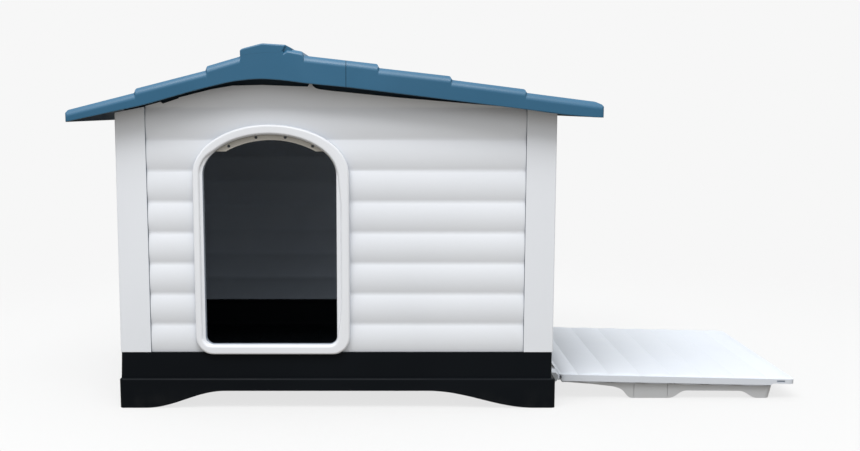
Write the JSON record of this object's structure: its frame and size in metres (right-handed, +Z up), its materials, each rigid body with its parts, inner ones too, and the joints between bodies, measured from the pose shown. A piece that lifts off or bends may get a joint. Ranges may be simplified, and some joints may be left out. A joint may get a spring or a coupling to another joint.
{
  "type": "outdoor dog kennel",
  "caption": "Plastic outdoor dog kennel with log-pattern walls, arched doorway, ridged roof, tub base and a side wall that folds down as a low terrace.",
  "frame": {"origin": "on the ground, under the middle of the whole object with its terrace open", "axes": "+X from the kennel towards the open terrace, +Y from the doorway to the back wall, +Z up"},
  "size_m": [1.573, 0.836, 0.7736],
  "materials": {
    "white_plastic": "satin moulded",
    "blue_plastic": "satin moulded",
    "black_plastic": "satin moulded",
    "beige_plastic": "matte",
    "grey_plastic": "matte",
    "steel": "zinc plated"
  },
  "bodies": {
    "kennel": {"base_tub": "black_plastic", "front_wall": "white_plastic", "back_wall": "white_plastic", "left_wall": "white_plastic", "side_header": "white_plastic", "corner_post_front_left": "white_plastic", "corner_post_front_right": "white_plastic", "corner_post_back_left": "white_plastic", "corner_post_back_right": "white_plastic", "door_frame": "white_plastic", "door_lintel": "beige_plastic", "roof_left": "blue_plastic", "roof_right": "blue_plastic", "ridge_cap": "blue_plastic", "vent_grille": "white_plastic", "hinge_bracket_front": "grey_plastic", "hinge_bracket_back": "grey_plastic", "hinge_pin_front": "steel", "hinge_pin_back": "steel", "bracket_screw_front_1": "steel", "bracket_screw_front_2": "steel", "bracket_screw_back_1": "steel", "bracket_screw_back_2": "steel"},
    "terrace": {"terrace_panel": "white_plastic", "terrace_cover": "white_plastic", "terrace_leg_frame": "white_plastic", "terrace_screw_1": "steel", "terrace_screw_2": "steel", "terrace_screw_3": "steel", "terrace_screw_4": "steel"},
    "vent_slide": {"vent_shutter": "grey_plastic"}
  },
  "joints": [
    {"name": "terrace_fold", "type": "hinge", "parent": "kennel", "child": "terrace", "pos_m": [0.24869, 0, 0.0485], "axis": [0, -1, 0], "range_deg": [0, 91.2]},
    {"name": "vent_shift", "type": "slide", "parent": "kennel", "child": "vent_slide", "axis": [1, 0, 0], "range_m": [0, 0.01]}
  ]
}
